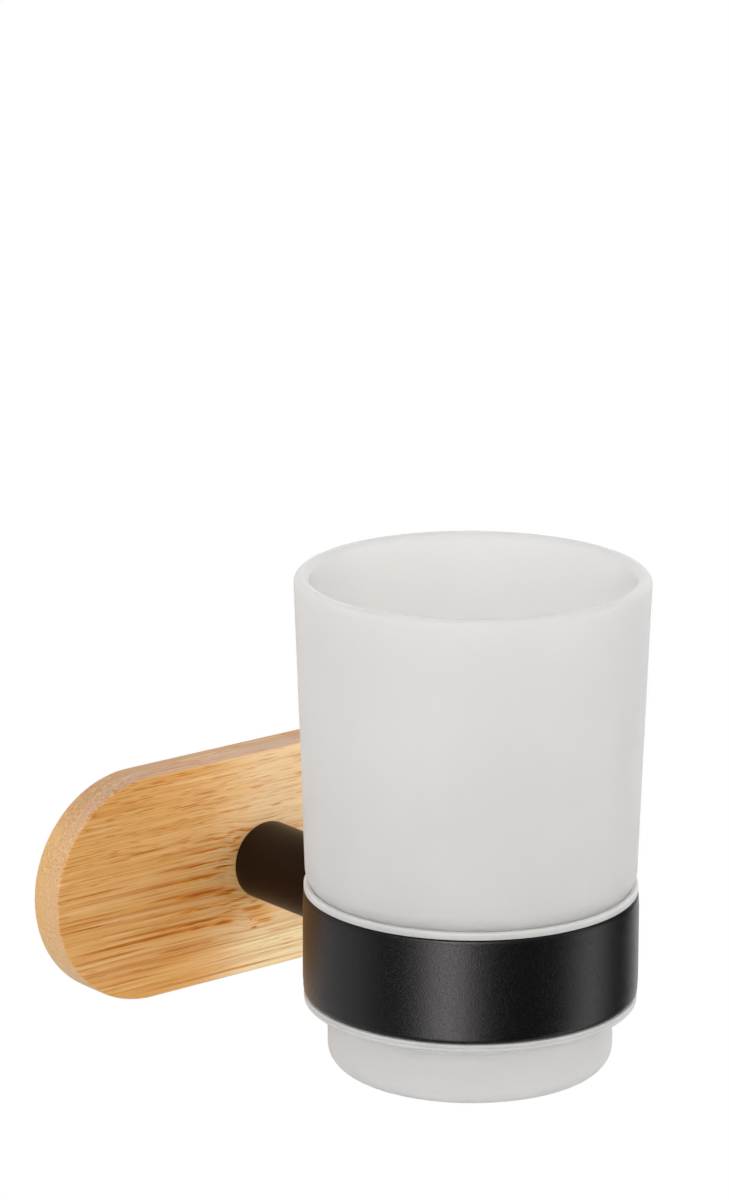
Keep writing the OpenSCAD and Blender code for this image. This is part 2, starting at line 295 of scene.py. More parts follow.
def swing(bm, tip, x, z, degrees, steps=10):
    """Swings the tip about (x, z), anticlockwise where degrees are positive."""
    made = bmesh.ops.spin(bm, geom=[tip], cent=(x * MM, 0, z * MM), axis=(0, -1, 0), dvec=(0, 0, 0),
                          angle=math.radians(degrees), steps=steps, use_merge=False, use_duplicate=False)
    return next(v for v in made["geom_last"] if isinstance(v, bmesh.types.BMVert))


def turn_on_lathe(bm, place, steps=240):
    bmesh.ops.spin(bm, geom=bm.verts[:] + bm.edges[:], cent=(0, 0, 0), axis=(0, 0, 1), dvec=(0, 0, 0),
                   angle=math.tau, steps=steps, use_merge=True, use_duplicate=False)
    bmesh.ops.remove_doubles(bm, verts=bm.verts, dist=JOIN_WITHIN)
    bmesh.ops.recalc_face_normals(bm, faces=bm.faces)
    bmesh.ops.translate(bm, verts=bm.verts, vec=place)
    print("turned", len(bm.faces), "faces")


# %% [markdown]
# ## Holes
# A bit is a mesh of its own. A Boolean modifier takes it from the piece and is applied at once, because the bit
# is thrown away. Every bit reaches 5 mm past each face that it goes through, and its Y places are in millimetres.


# %% Bits and drilling
OVER = 5


def bit_along_y(radius, z, y_from, y_to, segments=48):
    bm = bmesh.new()
    bmesh.ops.create_cone(bm, cap_ends=True, segments=segments, radius1=radius * MM, radius2=radius * MM,
                          depth=abs(y_to - y_from) * MM)
    bmesh.ops.rotate(bm, verts=bm.verts, cent=(0, 0, 0), matrix=Matrix.Rotation(math.pi / 2, 3, "X"))
    bmesh.ops.translate(bm, verts=bm.verts, vec=(0, (y_from + y_to) / 2 * MM, z * MM))
    return bm


def drill(piece, bm):
    bit_mesh = bpy.data.meshes.new("bit")
    bm.to_mesh(bit_mesh)
    bm.free()
    bit = bpy.data.objects.new("bit", bit_mesh)
    bpy.context.scene.collection.objects.link(bit)
    cut = piece.modifiers.new("cut", "BOOLEAN")
    cut.operation, cut.solver, cut.object = "DIFFERENCE", "EXACT", bit
    uncut = piece.data
    drilled = bpy.data.meshes.new_from_object(piece.evaluated_get(bpy.context.evaluated_depsgraph_get()))
    piece.modifiers.clear()
    piece.data = drilled
    bpy.data.objects.remove(bit)
    bpy.data.meshes.remove(uncut)


print("a bit reaches", OVER, "mm past the piece")

# %% [markdown]
# ## From a mesh to a finished piece
# A piece is shaded smooth, and edges sharper than 35 degrees stay sharp. It rides on its body, hides the plain
# node that it stands for and gets its material.

# %% Finish a piece
SHARP_ANGLE = math.radians(35)
body_of = {node: body for body, nodes in frame["record"]["behaviour"]["bodies"].items() for node in nodes}
print(len(body_of), "nodes on the bodies", sorted(set(body_of.values())))


def finish_piece(bm, name, node, material, *bits):
    """Makes a piece of the mesh, drills it with the bits and puts it in the place of the CAD node."""
    mesh = bpy.data.meshes.new(name)
    bm.to_mesh(mesh)
    bm.free()
    piece = bpy.data.objects.new(name, mesh)
    bpy.context.scene.collection.objects.link(piece)
    for bit in bits:
        drill(piece, bit)
    piece.data.polygons.foreach_set("use_smooth", [True] * len(piece.data.polygons))
    piece.data.set_sharp_from_angle(angle=SHARP_ANGLE)
    piece.data.materials.clear()
    piece.data.materials.append(material)
    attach(piece, body_of[node])
    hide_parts(node)
    print(name, "stands for", node, "and has", len(piece.data.polygons), "faces")
    return piece


# %% [markdown]
# ## The glass tumbler
# The tumbler was pressed in one piece. Its wall is 3 mm all over, so the inside repeats the stepped outside:
# a narrow foot, a hollow neck, a round shoulder that the liner carries, and a side that flares to the mouth.
# The rim was melted round in a flame. The neck and the shoulder are arcs that touch, so the angle at which one
# hands over to the other follows from their two centres.

# %% Sizes of the tumbler
FOOT_R, SHOULDER_R, MOUTH_R = 27.6, 32.0, 34.0
FOOT_H, TUMBLER_H = 33.9, 97.5
WALL, BASE, PUNT, STANDING_W = 3.0, 5.0, 0.8, 4.0
SHOULDER_CURVE, NECK_CURVE, FOOT_CURVE, FLOOR_CURVE = 5.9, 2.0, 4.0, 3.0
rim = WALL / 2
rim_z = TUMBLER_H - rim
shoulder_z = FOOT_H + SHOULDER_CURVE
lean = math.atan((MOUTH_R - SHOULDER_R) / (rim_z - shoulder_z))
shoulder_x = SHOULDER_R - SHOULDER_CURVE / math.cos(lean)
neck_x = FOOT_R + NECK_CURVE
handover = math.acos((neck_x - shoulder_x) / (SHOULDER_CURVE + NECK_CURVE))
neck_z = shoulder_z - (SHOULDER_CURVE + NECK_CURVE) * math.sin(handover)
punt_r = FOOT_R - FOOT_CURVE - STANDING_W
shoulder_turn, neck_turn = math.degrees(handover - lean), math.degrees(handover)
print("the neck hands over to the shoulder at", round(neck_turn, 1), "degrees")

# %% Section of the tumbler
bm, tip = pen_down(0, PUNT)
tip = line_to(bm, tip, punt_r, PUNT, 3)
tip = line_to(bm, tip, punt_r + PUNT, 0)
tip = line_to(bm, tip, FOOT_R - FOOT_CURVE, 0)
tip = swing(bm, tip, FOOT_R - FOOT_CURVE, FOOT_CURVE, 90)
tip = line_to(bm, tip, FOOT_R, neck_z, 6)
tip = swing(bm, tip, neck_x, neck_z, -neck_turn)
tip = swing(bm, tip, shoulder_x, shoulder_z, shoulder_turn, 14)
tip = line_to(bm, tip, MOUTH_R, rim_z, 16)
tip = swing(bm, tip, MOUTH_R - rim, rim_z, 180, 14)
inner_curve = SHOULDER_CURVE - WALL
tip = line_to(bm, tip, shoulder_x + inner_curve * math.cos(lean), shoulder_z - inner_curve * math.sin(lean), 16)
tip = swing(bm, tip, shoulder_x, shoulder_z, -shoulder_turn, 14)
tip = swing(bm, tip, neck_x, neck_z, neck_turn)
tip = line_to(bm, tip, FOOT_R - WALL, BASE + FLOOR_CURVE, 6)
tip = swing(bm, tip, FOOT_R - WALL - FLOOR_CURVE, BASE + FLOOR_CURVE, -90)
tip = line_to(bm, tip, 0, BASE, 3)
turn_on_lathe(bm, cup_axis + Vector((0, 0, tumbler_low.z)))
tumbler_bm = bm

# %% [markdown]
# Pressed glass is never quite even. The side is pushed in by up to 0.1 mm with a slow noise, which bends the
# soft reflections as they bend on the real one. The noise goes from -1 to 1. It is lowered by SHIFT, and its
# negative part pushes the wall. The foot and shoulder stay true, because they have to fit the liner, and the
# push has its full strength from a quarter of the way up.

# %% Uneven side
UNEVEN, WAVE = 0.08 * MM, 28 * MM
SHIFT, FULL_FROM = 0.4, 1 / 4
free_side = tumbler_low.z + shoulder_z * MM
for vertex in tumbler_bm.verts:
    height = (vertex.co.z - free_side) / (tumbler_high.z - free_side)
    if height > 0:
        outward = Vector((vertex.co.x, vertex.co.y - cup_axis.y, 0)).normalized()
        push = min(0, noise.noise(vertex.co / WAVE) - SHIFT)
        vertex.co += outward * push * UNEVEN * min(1, height / FULL_FROM)
print("side uneven by", UNEVEN / MM, "mm")

# %% [markdown]
# ## Etched glass
# Soda-lime glass, etched with acid inside and out. The etching leaves pits a few hundredths of a millimetre
# wide, so nothing shows clearly through the wall: light enters, wanders and leaves again, and the whole wall
# glows. A Principled shader gives this with subsurface light for the glow and some rough transmission for what
# still gets through. The etch has patches about 18 mm wide, a little whiter here and greyer there. On top of
# that the colour holds painted light and shade: the shoulder and the foot, which the liner and the ring shade,
# are painted whiter, a painted light, and near the rim, where some light escapes over the open edge, the wall
# is painted a little greyer, a painted shade. Heights are in millimetres above the post's axis.

# %% Etched glass
PATCH, PIT = 18, 0.4                    # in mm; the real pits are ten times finer
# Low down the colour is painted whiter, a painted light; high up it is painted greyer, a painted shade.
PAINTED_LIGHT_LOW = (16.5, 12.5, "#F5F4F3")     # none at this height, full at this height, colour
PAINTED_SHADE_HIGH = (44.0, 70.0, "#EBEAE9")
glass, tree, mm = new_material("acid_etched_soda_lime_glass")
patches = add_node(tree, "ShaderNodeTexNoise", None, {
    "Vector": mm, "Scale": 1 / PATCH, "Detail": 2.0, "Roughness": 0.45})
tint = add_node(tree, "ShaderNodeValToRGB", None, {"Fac": patches})
set_stops(tint, (0.38, "#EDECEB"), (0.64, "#F1EFEF"))
height = add_node(tree, "ShaderNodeSeparateXYZ", None, {0: mm})
# Mixes in the painted light low down and the painted shade near the rim.
for none_at, full_at, colour in (PAINTED_LIGHT_LOW, PAINTED_SHADE_HIGH):
    amount = add_node(tree, "ShaderNodeMapRange", {"interpolation_type": "SMOOTHSTEP"}, {
        "Value": height.outputs["Z"], "From Min": none_at, "From Max": full_at})
    tint = add_node(tree, "ShaderNodeMix", {"data_type": "RGBA"}, {0: amount, 6: tint, 7: linear(colour)})
depth_of_etch = add_node(tree, "ShaderNodeMapRange", None, {
    "Value": patches, "From Min": 0.3, "From Max": 0.7, "To Min": 0.57, "To Max": 0.63})
pits = add_node(tree, "ShaderNodeTexNoise", None, {
    "Vector": mm, "Scale": 1 / PIT, "Detail": 2.0, "Roughness": 0.6})
relief = add_node(tree, "ShaderNodeBump", None, {"Strength": 0.25, "Distance": 0.01 * MM, "Height": pits})
shader = add_node(tree, "ShaderNodeBsdfPrincipled", None, {
    "Base Color": tint, "Roughness": depth_of_etch, "IOR": 1.4, "Normal": relief,
    "Transmission Weight": 0.40, "Subsurface Weight": 1.0, "Subsurface Scale": 0.006,
    "Subsurface Radius": (1.0, 1.0, 1.0)})
add_node(tree, "ShaderNodeOutputMaterial", None, {"Surface": shader})
finish_piece(tumbler_bm, "glass_tumbler", "tumbler", glass)

# %% [markdown]
# ## The liner
# A sleeve of soft plastic that is pushed into the ring from above. Its upper lip is a funnel for the glass
# shoulder, its lower lip hooks under the ring, and two narrow lands keep the foot upright. Under the weight of
# the glass the funnel has settled against the shoulder, so above the line where they touch it follows the
# shoulder's arc at a hair's breadth. A moulded piece has no sharp corner, so the corners of the section are
# softened with a bevel of their vertices before the spin.

# %% Sizes of the liner
RING_IN_R, RING_OUT_R, RING_H = 30.4, 32.4, 20.8
RING_TOP = RING_H / 2
LAND_R, SLEEVE_IN_R, SLEEVE_OUT_R = 28.1, 29.0, 30.3
TOP_LIP_R, BOTTOM_LIP_R, TOP_LIP_H, BOTTOM_LIP_H = 32.2, 32.2, 1.35, 1.6
TOP_LIP_ROUND, BOTTOM_LIP_ROUND, LAND_H, ENTRY = 0.45, 0.6, 1.2, 0.6
LINE_D, LINE_H, LINE_SHARE = 0.15, 0.3, 0.45
SOFT_CORNER = 0.07
SEAT_GAP, FUNNEL_SLOPE, FUNNEL_STEPS = 0.08, math.radians(45), 6
lip_top, lip_bottom = RING_TOP + TOP_LIP_H, -RING_TOP - BOTTOM_LIP_H
seat_r = SHOULDER_CURVE + SEAT_GAP
seat_z = shoulder_z + (tumbler_low.z - ring_middle) / MM
lip_slope = math.asin((seat_z - lip_top) / seat_r)
funnel_top_r = shoulder_x + seat_r * math.cos(lip_slope)
touch_x, touch_z = shoulder_x + seat_r * math.cos(FUNNEL_SLOPE), seat_z - seat_r * math.sin(FUNNEL_SLOPE)
funnel_bottom = touch_z - (touch_x - LAND_R)
seat_turn = math.degrees(FUNNEL_SLOPE - lip_slope) / FUNNEL_STEPS
land_step = SLEEVE_IN_R - LAND_R
line_z = -RING_TOP - BOTTOM_LIP_H * LINE_SHARE
print("the funnel is", round(lip_top - funnel_bottom, 2), "mm deep")
print("the lip is", round(TOP_LIP_R - funnel_top_r, 2), "mm wide")

# %% Section of the liner
bm, first = pen_down(funnel_top_r, lip_top)
corners = [first]
tip = line_to(bm, first, TOP_LIP_R - TOP_LIP_ROUND, lip_top)
tip = swing(bm, tip, TOP_LIP_R - TOP_LIP_ROUND, lip_top - TOP_LIP_ROUND, -90, 6)
for x, z in ((TOP_LIP_R, RING_TOP), (SLEEVE_OUT_R, RING_TOP), (SLEEVE_OUT_R, -RING_TOP),
             (BOTTOM_LIP_R, -RING_TOP), (BOTTOM_LIP_R, line_z + LINE_H / 2), (BOTTOM_LIP_R - LINE_D, line_z),
             (BOTTOM_LIP_R, line_z - LINE_H / 2)):
    tip = line_to(bm, tip, x, z)
    corners.append(tip)
tip = line_to(bm, tip, BOTTOM_LIP_R, lip_bottom + BOTTOM_LIP_ROUND)
tip = swing(bm, tip, BOTTOM_LIP_R - BOTTOM_LIP_ROUND, lip_bottom + BOTTOM_LIP_ROUND, -90, 8)
for x, z in ((LAND_R + ENTRY, lip_bottom), (LAND_R, lip_bottom + ENTRY), (LAND_R, -RING_TOP + LAND_H),
             (SLEEVE_IN_R, -RING_TOP + LAND_H + land_step), (SLEEVE_IN_R, funnel_bottom - LAND_H - land_step),
             (LAND_R, funnel_bottom - LAND_H), (LAND_R, funnel_bottom)):
    tip = line_to(bm, tip, x, z)
    corners.append(tip)
tip = line_to(bm, tip, touch_x, touch_z)
tip = swing(bm, tip, shoulder_x, seat_z, seat_turn * (FUNNEL_STEPS - 1), FUNNEL_STEPS - 1)
bm.edges.new((tip, first))
bmesh.ops.bevel(bm, geom=corners, offset=SOFT_CORNER * MM, offset_type="OFFSET", affect="VERTICES",
                segments=2, profile=0.5, material=-1)
turn_on_lathe(bm, cup_axis + Vector((0, 0, ring_middle)))
liner_bm = bm

# %% [markdown]
# ## Milky plastic
# A thermoplastic elastomer, injection moulded. It is soft and slightly cloudy, so it glows like the glass but
# has a closer, waxier gloss. Its mould was blasted, which leaves a grain of about a third of a millimetre.

# %% Milky plastic and the liner's window
WINDOW_R, CLOUD, BLAST_GRAIN = 5.2, 9, 0.35
ring_back = cup_axis.y / MM + RING_IN_R      # inside of the ring at the wall side, where the screw's head sits
plastic, tree, mm = new_material("moulded_milky_elastomer")
clouds = add_node(tree, "ShaderNodeTexNoise", None, {
    "Vector": mm, "Scale": 1 / CLOUD, "Detail": 3.0, "Roughness": 0.5})
tint = add_node(tree, "ShaderNodeValToRGB", None, {"Fac": clouds})
set_stops(tint, (0.35, "#D5D4D2"), (0.66, "#DDDCDA"))
grain = add_node(tree, "ShaderNodeTexNoise", None, {
    "Vector": mm, "Scale": 1 / BLAST_GRAIN, "Detail": 2.0, "Roughness": 0.6})
gloss = add_node(tree, "ShaderNodeMapRange", None, {
    "Value": grain, "From Min": 0.3, "From Max": 0.7, "To Min": 0.46, "To Max": 0.54})
relief = add_node(tree, "ShaderNodeBump", None, {"Strength": 0.3, "Distance": 0.01 * MM, "Height": grain})
shader = add_node(tree, "ShaderNodeBsdfPrincipled", None, {
    "Base Color": tint, "Roughness": gloss, "IOR": 1.45, "Normal": relief, "Transmission Weight": 0.10,
    "Subsurface Weight": 1.0, "Subsurface Scale": 0.001, "Subsurface Radius": (1.0, 1.0, 1.0)})
add_node(tree, "ShaderNodeOutputMaterial", None, {"Surface": shader})
finish_piece(liner_bm, "soft_liner", "ring_liner", plastic,
             bit_along_y(WINDOW_R, 0, ring_back - OVER, ring_back + OVER, 64))

# %% [markdown]
# ## The ring
# A steel band, rolled to a circle, ground round at its edges and powder coated. Rolling leaves the last two
# millimetres at each edge turned in by a tenth, which nobody measures but everybody sees, because the soft
# boxes get a brighter line there. A screw from inside holds the ring to the post, so it has a hole at the back
# and a flat face for the screw's head.

# %% Section of the ring
EDGE_ROUND, INNER_CHAMFER = 1.3, 0.3
ROLL_H, ROLL_IN, SPOT_D = 2.2, 0.10, 0.1
edge_x, edge_z = RING_OUT_R - ROLL_IN - EDGE_ROUND, RING_TOP - EDGE_ROUND


def turned_in(share):
    """How far the band's outside stands in at a share of ROLL_H from its edge's rounding."""
    return ROLL_IN * (1 + math.cos(math.pi * share)) / 2


bm, first = pen_down(RING_IN_R, RING_TOP - INNER_CHAMFER)
tip = line_to(bm, first, RING_IN_R + INNER_CHAMFER, RING_TOP)
tip = line_to(bm, tip, edge_x, RING_TOP)
tip = swing(bm, tip, edge_x, edge_z, -90, 12)
for share in (0.25, 0.5, 0.75, 1.0):
    tip = line_to(bm, tip, RING_OUT_R - turned_in(share), edge_z - ROLL_H * share)
tip = line_to(bm, tip, RING_OUT_R, ROLL_H - edge_z, 8)
for share in (0.75, 0.5, 0.25, 0.0):
    tip = line_to(bm, tip, RING_OUT_R - turned_in(share), ROLL_H * share - edge_z)
tip = swing(bm, tip, edge_x, -edge_z, -90, 12)
tip = line_to(bm, tip, RING_IN_R + INNER_CHAMFER, -RING_TOP)
tip = line_to(bm, tip, RING_IN_R, INNER_CHAMFER - RING_TOP)
bm.edges.new((tip, first))
turn_on_lathe(bm, cup_axis + Vector((0, 0, ring_middle)))
ring_bm = bm

# %% [markdown]
# ## The post
# A round steel bar, square at the board and hollowed at its other end, so that it sits round the ring. It is
# turned like the rest and then laid down along Y. The hollow is a cut by a cylinder as wide as the ring, which
# leaves a gap as thick as the paint. The end at the board is broken by a quarter of a millimetre.

# %% Section of the post and its holes
POST_R, BAR_L, POST_BREAK, PAINT_GAP, RING_BIT_L = 8.0, 34, 0.25, 0.05, 30
SHANK_R, HOLE_R, HEAD_POCKET_R, PIN_HOLE_R, PIN_Z = 2.55, 2.75, 4.8, 1.55, 5.2
RING_TAP_D, BOARD_TAP_D, PIN_HOLE_D = 12, 9.3, 3.2
bm, tip = pen_down(0, 0)
tip = line_to(bm, tip, POST_R - POST_BREAK, 0, 3)
tip = swing(bm, tip, POST_R - POST_BREAK, POST_BREAK, 90, 5)
tip = line_to(bm, tip, POST_R, BAR_L, 12)
tip = line_to(bm, tip, 0, BAR_L)
turn_on_lathe(bm, (0, 0, 0), 128)
bmesh.ops.rotate(bm, verts=bm.verts, cent=(0, 0, 0), matrix=Matrix.Rotation(math.pi / 2, 3, "X"))
bmesh.ops.translate(bm, verts=bm.verts, vec=(0, board_front * MM, 0))
post_bm = bm

ring_bit = bmesh.new()
bmesh.ops.create_cone(ring_bit, cap_ends=True, segments=240, radius1=(RING_OUT_R + PAINT_GAP) * MM,
                      radius2=(RING_OUT_R + PAINT_GAP) * MM, depth=RING_BIT_L * MM)
bmesh.ops.translate(ring_bit, verts=ring_bit.verts, vec=cup_axis)
post_bits = [ring_bit, bit_along_y(SHANK_R, 0, ring_back - OVER, ring_back + RING_TAP_D),
             bit_along_y(SHANK_R, 0, board_front - BOARD_TAP_D, board_front + OVER),
             bit_along_y(PIN_HOLE_R, PIN_Z, board_front - PIN_HOLE_D, board_front + OVER)]

# %% [markdown]
# ## Powder coat
# Black polyester powder, sprayed on steel and baked. It flows into a skin with an orange peel of about a
# millimetre, and each grain of powder leaves a dimple about a quarter of a millimetre wide. The light that a
# dimple scatters is painted into the colour as a lighter dot here and there, a painted glint. The gloss is
# broad, and the ring's has a faint rose cast. The post was coated with another batch, a little browner, with
# less shine and shallower dimples.


# %% Powder coat
ORANGE_PEEL, POWDER_GRAIN = 1.1, 0.27


def powder_coat(name, dark, less_dark, painted_glint, shine, cast, dimple_d):
    coat, tree, mm = new_material(name)
    flow = add_node(tree, "ShaderNodeTexNoise", None, {
        "Vector": mm, "Scale": 1 / ORANGE_PEEL, "Detail": 1.0, "Roughness": 0.4})
    grains = add_node(tree, "ShaderNodeTexNoise", None, {
        "Vector": mm, "Scale": 1 / POWDER_GRAIN, "Detail": 1.5, "Roughness": 0.65})
    tone = add_node(tree, "ShaderNodeValToRGB", None, {"Fac": grains})
    # The last stop paints lighter dots into the colour: painted glints for the light that the dimples scatter.
    set_stops(tone, (0.35, dark), (0.66, less_dark), (0.80, painted_glint))
    gloss = add_node(tree, "ShaderNodeMapRange", None, {
        "Value": grains, "From Min": 0.3, "From Max": 0.7, "To Min": 0.30, "To Max": 0.46})
    peel = add_node(tree, "ShaderNodeBump", None, {"Strength": 0.3, "Distance": 0.02 * MM, "Height": flow})
    dimples = add_node(tree, "ShaderNodeBump", None, {
        "Strength": 0.8, "Distance": dimple_d * MM, "Height": grains, "Normal": peel})
    shader = add_node(tree, "ShaderNodeBsdfPrincipled", None, {
        "Base Color": tone, "Roughness": gloss, "IOR": 1.50, "Specular IOR Level": shine,
        "Specular Tint": linear(cast), "Normal": dimples})
    add_node(tree, "ShaderNodeOutputMaterial", None, {"Surface": shader})
    print(name, "has", len(tree.nodes), "nodes")
    return coat


ring_coat = powder_coat("baked_black_powder_coat", "#030303", "#060505", "#2C2A28",
                        shine=0.50, cast="#FFF9FD", dimple_d=0.05)
post_coat = powder_coat("baked_brown_black_powder_coat", "#1D100A", "#25150D", "#36251B",
                        shine=0.13, cast="#FFFFFF", dimple_d=0.02)
finish_piece(ring_bm, "coated_ring", "support_ring", ring_coat,
             bit_along_y(HOLE_R, 0, ring_back - OVER, ring_back + OVER),
             bit_along_y(HEAD_POCKET_R, 0, ring_back - OVER, ring_back + SPOT_D))
finish_piece(post_bm, "coated_post", "post", post_coat, *post_bits)

# %% [markdown]
# ## The board
# Two layers of bamboo, 4 mm each, glued and milled to a shape with half-round ends. The pen draws that outline,
# contextual_create fills it, and an extrusion gives the layer its thickness. The outer edge is broken with a
# bevel, as a sander does it. Bamboo frays a little where the sander crosses its fibres, so a noise that is
# stretched along them pushes the broken edge in unevenly. The same function cuts the pad behind the board.

# %% Flat pieces with half-round ends
EDGE_BREAK, FRAY, STRAIGHT_STEPS, END_STEPS = 0.5, 0.12, 40, 180
THREADS = (0.25, 2.0)           # per mm, along and across the fibres
FRAYED_PART = 0.9               # of the depth of the broken edge


def round_ended_slab(length, height, y_from, y_to, edge_break, fray):
    """y_to is the face whose edge is broken."""
    end_r, straight = height / 2, (length - height) / 2
    bm, tip = pen_down(-straight, end_r)
    tip = line_to(bm, tip, straight, end_r, STRAIGHT_STEPS)
    tip = swing(bm, tip, straight, 0, -180, END_STEPS)
    tip = line_to(bm, tip, -straight, -end_r, STRAIGHT_STEPS)
    swing(bm, tip, -straight, 0, -180, END_STEPS)
    bmesh.ops.remove_doubles(bm, verts=bm.verts, dist=JOIN_WITHIN)
    bmesh.ops.contextual_create(bm, geom=bm.edges[:])
    bmesh.ops.translate(bm, verts=bm.verts, vec=(0, y_from * MM, 0))
    made = bmesh.ops.extrude_face_region(bm, geom=bm.faces[:], use_keep_orig=True)
    moved = [v for v in made["geom"] if isinstance(v, bmesh.types.BMVert)]
    bmesh.ops.translate(bm, verts=moved, vec=(0, (y_to - y_from) * MM, 0))
    bmesh.ops.recalc_face_normals(bm, faces=bm.faces)
    arris = [e for e in bm.edges if all(abs(v.co.y - y_to * MM) < 0.01 * MM for v in e.verts)]
    bmesh.ops.bevel(bm, geom=arris, offset=edge_break * MM, offset_type="OFFSET", affect="EDGES",
                    segments=4, profile=0.5, material=-1)
    for vertex in bm.verts:
        depth = abs(vertex.co.y / MM - y_to) / edge_break
        if depth < FRAYED_PART:
            threads = noise.noise(Vector((THREADS[0] * vertex.co.x, 0, THREADS[1] * vertex.co.z)) / MM)
            centre = Vector((max(-straight, min(straight, vertex.co.x / MM)) * MM, vertex.co.y, 0))
            vertex.co += (centre - vertex.co).normalized() * max(0, threads) * fray * MM * (1 - depth)
    print("slab of", length, "x", height, "mm has", len(bm.faces), "faces")
    return bm


BOARD_L, BOARD_H, GLUE = 104, 46, -5
front_bm = round_ended_slab(BOARD_L, BOARD_H, GLUE, board_front, EDGE_BREAK, FRAY)
back_bm = round_ended_slab(BOARD_L, BOARD_H, GLUE, pad_front, EDGE_BREAK, FRAY)

# %% [markdown]
# ## Bamboo
# Moso bamboo, split, steamed to a caramel tone, pressed flat, sanded and lacquered matt. Its wood is a pale
# ground with dark fibre bundles that all run along the board. A cut along them shows streaks, and a cut across
# them, as at the round ends, shows dots. Both come by themselves from a solid pattern that is stretched along
# X. Distances below are in millimetres, measured on the board's face from the post's axis.

# %% Where a point of the board lies and which way it faces
bamboo_front, tree, mm = new_material("lacquered_bamboo_front")
xyz = add_node(tree, "ShaderNodeSeparateXYZ", None, {0: mm})
x, z = xyz.outputs["X"], xyz.outputs["Z"]
turned = add_node(tree, "ShaderNodeNewGeometry")
facing = add_node(tree, "ShaderNodeSeparateXYZ", None, {0: turned.outputs["Normal"]})
front_or_back = add_node(tree, "ShaderNodeMath", {"operation": "ABSOLUTE"}, {0: facing.outputs["Y"]})
left_or_right = add_node(tree, "ShaderNodeMath", {"operation": "ABSOLUTE"}, {0: facing.outputs["X"]})
up_or_down = facing.outputs["Z"]
far_up = add_node(tree, "ShaderNodeMath", {"operation": "ADD"}, {0: z, 1: 2.0})
far_up = add_node(tree, "ShaderNodeMath", {"operation": "ABSOLUTE"}, {0: far_up})
print("the board's rim is", round(pad_front - board_front, 2), "mm wide")

# %% [markdown]
# A mask says how much of a pattern or colour a part of the board gets. Each mask follows one measure, such as
# the place along the board or the way that the surface faces: it has one value before a first place, another
# after a second place, and changes smoothly between the two.

# %% Masks
MASKS = (
    # name          along          from   to     before after
    ("on_rim",      front_or_back, 0.45,  0.95,  1.0,   0.0),
    ("on_end",      left_or_right, 0.35,  0.90,  0.0,   0.18),
    # The next two masks paint the rim by the way it faces: darker facing up, a painted shade, and lighter facing
    # down, a painted light.
    ("painted_shade_facing_up",   up_or_down,    0.50,  1.00,  0.0,   0.85),
    ("painted_light_facing_down", up_or_down,    -0.90, -0.10, 0.85,  0.0),
    ("bend_x",      x,             -12.0, -3.0,  0.0,   1.6),
    ("bend_z",      far_up,        9.0,   14.0,  1.0,   0.0),
    ("left_side",   x,             0.0,   9.0,   1.0,   0.0),
    ("right_side",  x,             -3.0,  6.0,   0.0,   1.0),
    ("below_top",   z,             6.5,   9.5,   0.50,  0.0),
    ("low_part",    z,             4.0,   10.0,  1.0,   0.25),
    ("high_part",   z,             2.0,   9.0,   -0.05, 0.015),
    # Lighter wood to the right of the knuckle: partly the wood's own tone and partly painted light beside the
    # tumbler and the post.
    ("lighter_wood_and_painted_light",     x,             -24.0, 4.0,   0.0,   0.8),
    # The next two masks mark the low right corner, which is painted paler: partly the wood's own tone and partly
    # painted light.
    ("low_edge",    z,             -16.0, -11.0, 0.8,   0.0),
    ("low_right",   x,             -18.0, 4.0,   0.0,   1.0))
mask = {}
for name, measure, low, high, before, after in MASKS:
    mask[name] = add_node(tree, "ShaderNodeMapRange", {"interpolation_type": "SMOOTHSTEP"}, {
        "Value": measure, "From Min": low, "From Max": high, "To Min": before, "To Max": after})
on_face = add_node(tree, "ShaderNodeMath", {"operation": "MULTIPLY_ADD"}, {0: mask["on_rim"], 1: -0.8, 2: 1.0})
print(len(mask), "masks")

# %% [markdown]
# A stalk has knuckles, where its fibres end and start anew. One crosses this board beside the post. The fibres
# bend down as they reach it, so the bundles are drawn in a bent copy of the place: its Z is raised by up to
# 1.6 mm near the knuckle, and a slow noise lets it waver.

# %% The bent place
slow = add_node(tree, "ShaderNodeVectorMath", {"operation": "MULTIPLY"}, {0: mm, 1: (0.035, 0.0, 0.10)})
slow = add_node(tree, "ShaderNodeTexNoise", None, {"Vector": slow, "Scale": 1.0, "Detail": 1.0})
waver = add_node(tree, "ShaderNodeMath", {"operation": "MULTIPLY_ADD"}, {0: slow, 1: 0.6, 2: -0.3})
bent_z = add_node(tree, "ShaderNodeMath", {"operation": "MULTIPLY_ADD"}, {
    0: mask["bend_x"], 1: mask["bend_z"], 2: z})
bent_z = add_node(tree, "ShaderNodeMath", {"operation": "ADD"}, {0: bent_z, 1: waver})
bent = add_node(tree, "ShaderNodeCombineXYZ", None, {"X": x, "Y": xyz.outputs["Y"], "Z": bent_z})
print("fibres bend by up to", round(mask["bend_x"].inputs["To Max"].default_value, 1), "mm")

# %% [markdown]
# Every pattern in the wood follows one recipe: squeeze the place along the fibres, look up a noise there, and
# keep the part of it between two thresholds. The table gives for each pattern how many turns of the noise fit
# in a millimetre along, into and across the board, its detail, the two thresholds, and its weakest and
# strongest value. A real fibre is a tenth of a millimetre thick, and the finest here are three times that.

